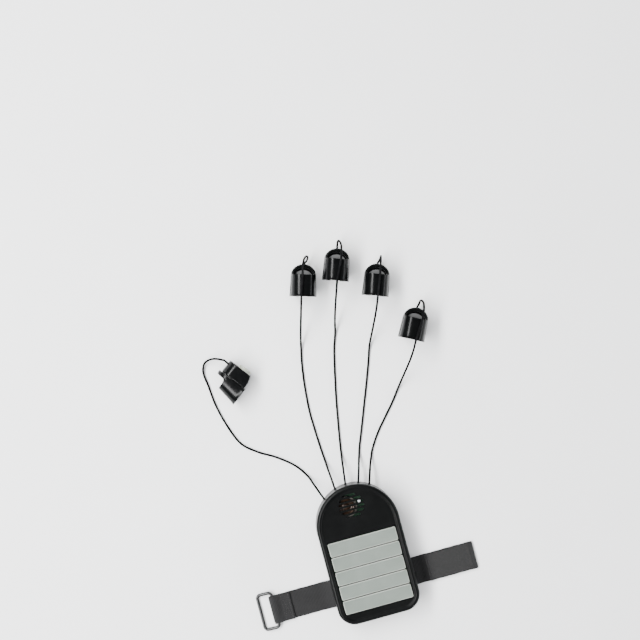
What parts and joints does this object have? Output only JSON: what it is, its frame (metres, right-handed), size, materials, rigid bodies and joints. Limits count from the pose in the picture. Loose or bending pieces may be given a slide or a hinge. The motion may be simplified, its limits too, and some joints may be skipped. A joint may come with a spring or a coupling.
{
  "type": "wearable finger piano",
  "caption": "Wearable toy piano: a back-of-hand speaker unit with bar keys and a wrist strap, wired by thin cords to fingertip sleeves whose buttons are pressed by tapping.",
  "frame": {"origin": "centre of the control unit's half-round head, on the unit's flat back, which lies on the same plane as the fingertip buttons", "axes": "+Z away from the flat back, towards the keys; +Y from the unit towards the fingertips; +X to the little finger's side; the unit itself is turned 15 degrees anticlockwise about +Z"},
  "size_m": [0.1969, 0.2776, 0.0278],
  "materials": {
    "case_plastic": "satin moulded, fine grain",
    "cap_plastic": "glossy moulded",
    "key_plastic": "semi-gloss pale grey-green",
    "button_plastic": "milky translucent",
    "cord_jacket": "smooth soft PVC",
    "board_green": "solder mask over glass laminate",
    "mylar": "thin brown film",
    "metal": "zinc or nickel plated",
    "silicone": "matte",
    "white_plastic": "diffused epoxy",
    "chip_black": "moulded epoxy",
    "cell_wrap": "shrink sleeve",
    "webbing": "woven polyester, hook-and-loop"
  },
  "bodies": {
    "unit_and_sensors": {"back_cover": "case_plastic", "battery_1": "cell_wrap", "battery_2": "cell_wrap", "battery_plate": "metal", "battery_spring_1": "metal", "battery_spring_2": "metal", "cable_anchor": "case_plastic", "case_screw_1": "metal", "case_screw_2": "metal", "case_screw_3": "metal", "case_screw_4": "metal", "circuit_board": "board_green", "front_cover": "case_plastic", "index_board": "board_green", "index_cord": "cord_jacket", "index_housing": "cap_plastic", "index_sleeve": "cap_plastic", "index_switch": "chip_black", "key_mat": "silicone", "little_board": "board_green", "little_cord": "cord_jacket", "little_housing": "cap_plastic", "little_sleeve": "cap_plastic", "little_switch": "chip_black", "middle_board": "board_green", "middle_cord": "cord_jacket", "middle_housing": "cap_plastic", "middle_sleeve": "cap_plastic", "middle_switch": "chip_black", "power_switch_body": "chip_black", "ring_board": "board_green", "ring_cord": "cord_jacket", "ring_housing": "cap_plastic", "ring_sleeve": "cap_plastic", "ring_switch": "chip_black", "sound_chip": "chip_black", "speaker_cone": "mylar", "speaker_frame": "metal", "status_led": "white_plastic", "strap": "webbing", "thumb_board": "board_green", "thumb_cord": "cord_jacket", "thumb_housing": "cap_plastic", "thumb_sleeve": "cap_plastic", "thumb_switch": "chip_black"},
    "thumb_button_body": {"thumb_button": "button_plastic"},
    "index_button_body": {"index_button": "button_plastic"},
    "middle_button_body": {"middle_button": "button_plastic"},
    "ring_button_body": {"ring_button": "button_plastic"},
    "little_button_body": {"little_button": "button_plastic"},
    "key_1_body": {"key_1": "key_plastic"},
    "key_2_body": {"key_2": "key_plastic"},
    "key_3_body": {"key_3": "key_plastic"},
    "key_4_body": {"key_4": "key_plastic"},
    "key_5_body": {"key_5": "key_plastic"},
    "power_knob_body": {"power_switch_knob": "case_plastic"},
    "battery_door_body": {"battery_door": "case_plastic", "door_screw": "metal"},
    "strap_ring_body": {"strap_ring": "case_plastic"}
  },
  "joints": [
    {"name": "thumb_button_press", "type": "slide", "parent": "unit_and_sensors", "child": "thumb_button_body", "axis": [-0.6115, -0.7912, 0], "range_m": [0, 0.0012], "stiffness_N_per_m": 400, "springref_m": -0.001},
    {"name": "index_button_press", "type": "slide", "parent": "unit_and_sensors", "child": "index_button_body", "axis": [0, 0, 1], "range_m": [0, 0.0012], "stiffness_N_per_m": 400, "springref_m": -0.001},
    {"name": "middle_button_press", "type": "slide", "parent": "unit_and_sensors", "child": "middle_button_body", "axis": [0, 0, 1], "range_m": [0, 0.0012], "stiffness_N_per_m": 400, "springref_m": -0.001},
    {"name": "ring_button_press", "type": "slide", "parent": "unit_and_sensors", "child": "ring_button_body", "axis": [0, 0, 1], "range_m": [0, 0.0012], "stiffness_N_per_m": 400, "springref_m": -0.001},
    {"name": "little_button_press", "type": "slide", "parent": "unit_and_sensors", "child": "little_button_body", "axis": [0, 0, 1], "range_m": [0, 0.0012], "stiffness_N_per_m": 400, "springref_m": -0.001},
    {"name": "key_1_press", "type": "slide", "parent": "unit_and_sensors", "child": "key_1_body", "axis": [0, 0, -1], "range_m": [0, 0.0009], "stiffness_N_per_m": 300, "springref_m": -0.001},
    {"name": "key_2_press", "type": "slide", "parent": "unit_and_sensors", "child": "key_2_body", "axis": [0, 0, -1], "range_m": [0, 0.0009], "stiffness_N_per_m": 300, "springref_m": -0.001},
    {"name": "key_3_press", "type": "slide", "parent": "unit_and_sensors", "child": "key_3_body", "axis": [0, 0, -1], "range_m": [0, 0.0009], "stiffness_N_per_m": 300, "springref_m": -0.001},
    {"name": "key_4_press", "type": "slide", "parent": "unit_and_sensors", "child": "key_4_body", "axis": [0, 0, -1], "range_m": [0, 0.0009], "stiffness_N_per_m": 300, "springref_m": -0.001},
    {"name": "key_5_press", "type": "slide", "parent": "unit_and_sensors", "child": "key_5_body", "axis": [0, 0, -1], "range_m": [0, 0.0009], "stiffness_N_per_m": 300, "springref_m": -0.001},
    {"name": "power_knob_slide", "type": "slide", "parent": "unit_and_sensors", "child": "power_knob_body", "axis": [-0.2588, 0.9659, 0], "range_m": [0, 0.003]},
    {"name": "battery_door_lift", "type": "slide", "parent": "unit_and_sensors", "child": "battery_door_body", "axis": [0, 0, -1], "range_m": [0, 0.012]},
    {"name": "strap_ring_swing", "type": "hinge", "parent": "unit_and_sensors", "child": "strap_ring_body", "pos_m": [-0.05816, -0.06114, 0.0029], "axis": [-0.2588, 0.9659, 0], "range_deg": [0, 150]}
  ]
}
